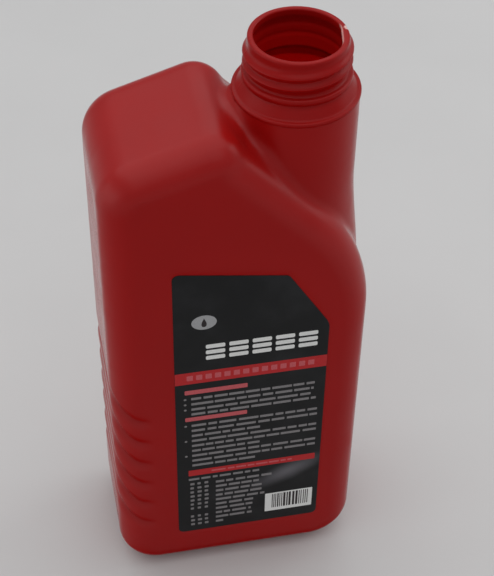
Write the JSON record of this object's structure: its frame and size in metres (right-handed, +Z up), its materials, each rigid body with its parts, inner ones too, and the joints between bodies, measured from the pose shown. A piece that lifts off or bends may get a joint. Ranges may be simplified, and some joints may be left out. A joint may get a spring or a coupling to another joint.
{
  "type": "plastic jerrycan",
  "caption": "Blow-moulded plastic can for oil, with a flat rounded body, a sloped shoulder, an offset threaded neck left open, finger ribs down one side and a printed film label.",
  "frame": {"origin": "middle of the base, on the surface that the can stands on", "axes": "+Z up, +X along the wide faces towards the side with the neck, -Y out of the face with the label"},
  "size_m": [0.1016, 0.061, 0.252],
  "materials": {
    "bottle": "satin, as blow-moulded polyethylene",
    "label": "smooth printed film"
  },
  "bodies": {
    "root": {"bottle": "bottle", "label": "label"}
  },
  "joints": []
}
